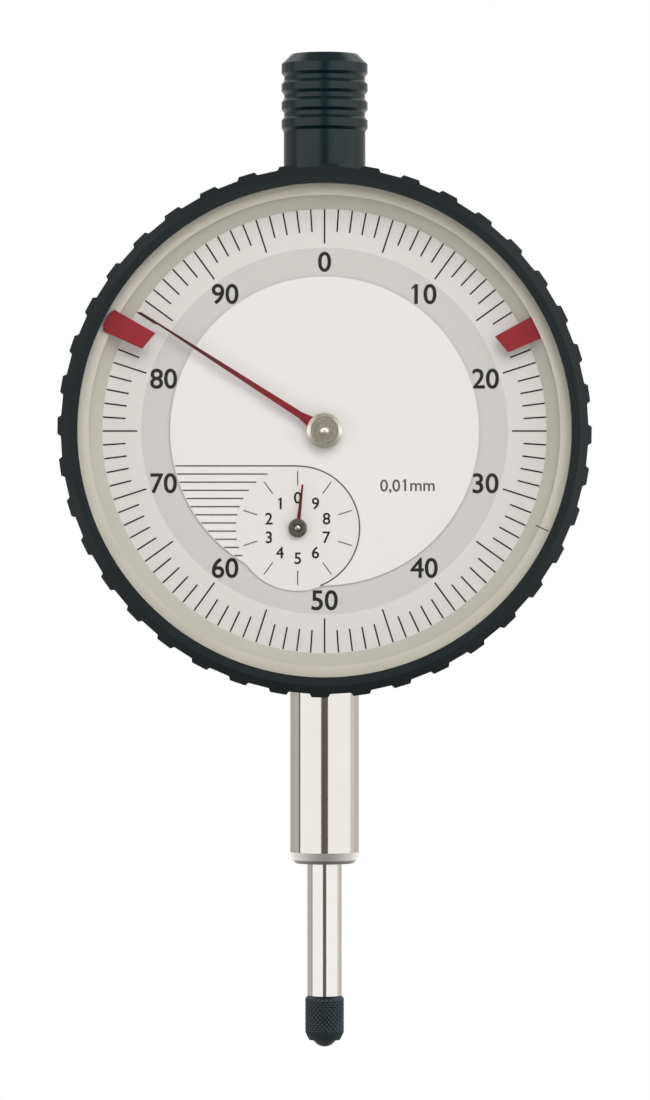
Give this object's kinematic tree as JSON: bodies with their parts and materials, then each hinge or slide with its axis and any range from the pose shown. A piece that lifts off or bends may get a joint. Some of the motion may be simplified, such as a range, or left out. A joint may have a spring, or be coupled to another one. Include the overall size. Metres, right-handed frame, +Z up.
{
  "type": "dial indicator",
  "caption": "Plunger dial indicator with a ribbed rotating bezel, tolerance markers, a turns counter, a round clamping shank and a ball-tipped spindle.",
  "frame": {"origin": "on the spindle axis, halfway along the straight clamping length of the mounting shank", "axes": "+Z up along the spindle towards the lifting cap; the dial faces -Y; +X is to the reader's right"},
  "size_m": [0.06, 0.0245, 0.114],
  "materials": {
    "case_paint": "satin",
    "bright_steel": "ground and lapped stainless steel",
    "bronze": "turned bronze",
    "rubber": "matte",
    "screw_steel": "turned steel",
    "spring_steel": "drawn wire",
    "brass": "milled brass",
    "jewel": "polished synthetic ruby",
    "dial_white": "matt printed lacquer",
    "black_plastic": "satin moulded plastic",
    "black_steel": "blackened steel",
    "ball_steel": "polished hardened steel",
    "red_enamel": "satin enamel",
    "dark_hub": "dark nickel",
    "silver": "turned and lacquered",
    "bezel_plastic": "satin moulded plastic",
    "crystal": "clear acrylic",
    "silver_ring": "satin champagne",
    "cone_grey": "matt moulded plastic",
    "aluminium": "turned"
  },
  "bodies": {
    "housing": {"case_body": "case_paint", "mounting_shank": "bright_steel", "shank_guide_bush": "bronze", "bumper_washer": "rubber", "neck_tube": "bright_steel", "back_cover": "case_paint", "back_cover_gasket": "rubber", "back_cover_screws": "screw_steel", "bezel_spring_ring": "spring_steel", "base_plate": "brass", "base_plate_screws": "screw_steel", "small_movement_screws": "screw_steel", "bridge_pillars": "brass", "bridge_screws": "screw_steel", "movement_bridge": "brass", "pivot_jewels": "jewel", "rack_pinion_cock": "brass", "hairspring": "spring_steel", "hairspring_stud": "brass", "spindle_guide_rail": "bronze", "spring_anchor_post": "screw_steel", "return_spring": "spring_steel", "centre_dial": "dial_white"},
    "spindle": {"spindle": "bright_steel", "guide_pin": "screw_steel", "stop_collar": "brass", "lifting_cap": "black_plastic", "contact_body": "black_steel", "contact_ball": "ball_steel"},
    "counter": {"rack_pinion_arbor": "screw_steel", "counter_wheel": "brass", "counter_pointer": "red_enamel", "counter_hub": "dark_hub"},
    "pointer": {"centre_arbor": "screw_steel", "main_pointer": "red_enamel", "pointer_hub": "silver"},
    "take_up": {"take_up_arbor": "screw_steel", "take_up_wheel": "brass", "hairspring_collet": "brass"},
    "bezel": {"bezel_ring": "bezel_plastic", "crystal": "crystal", "crystal_gasket": "rubber", "silver_ring": "silver_ring", "cone_ring": "cone_grey", "scale_ring": "dial_white", "scale_retaining_ring": "aluminium"},
    "left_marker": {"tolerance_marker_left": "red_enamel"},
    "right_marker": {"tolerance_marker_right": "red_enamel"}
  },
  "joints": [
    {"name": "spindle_slide", "type": "slide", "parent": "housing", "child": "spindle", "axis": [0, 0, 1], "range_m": [0, 0.0103], "stiffness_N_per_m": 58, "springref_m": -0.012, "deforming": ["return_spring"]},
    {"name": "counter_spin", "type": "hinge", "parent": "housing", "child": "counter", "pos_m": [-0.00303, 0, 0.02775], "axis": [0, 1, 0], "range_deg": [-371.8, 1]},
    {"name": "pointer_spin", "type": "hinge", "parent": "housing", "child": "pointer", "pos_m": [0, 0, 0.0387], "axis": [0, 1, 0], "range_deg": [-10, 3718]},
    {"name": "take_up_spin", "type": "hinge", "parent": "housing", "child": "take_up", "pos_m": [0.00889, 0, 0.04578], "axis": [0, 1, 0], "range_deg": [-371.8, 1]},
    {"name": "bezel_turn", "type": "hinge", "parent": "housing", "child": "bezel", "pos_m": [0, 0, 0.0387], "axis": [0, 1, 0], "continuous": true},
    {"name": "left_marker_set", "type": "hinge", "parent": "bezel", "child": "left_marker", "pos_m": [0, 0, 0.0387], "axis": [0, 1, 0], "continuous": true},
    {"name": "right_marker_set", "type": "hinge", "parent": "bezel", "child": "right_marker", "pos_m": [0, 0, 0.0387], "axis": [0, 1, 0], "continuous": true}
  ],
  "couplings": [
    {"joint": "counter_spin", "follows": "spindle_slide", "rad_per_m": -628.32},
    {"joint": "pointer_spin", "follows": "spindle_slide", "rad_per_m": 6283.2},
    {"joint": "take_up_spin", "follows": "spindle_slide", "rad_per_m": -628.32}
  ]
}
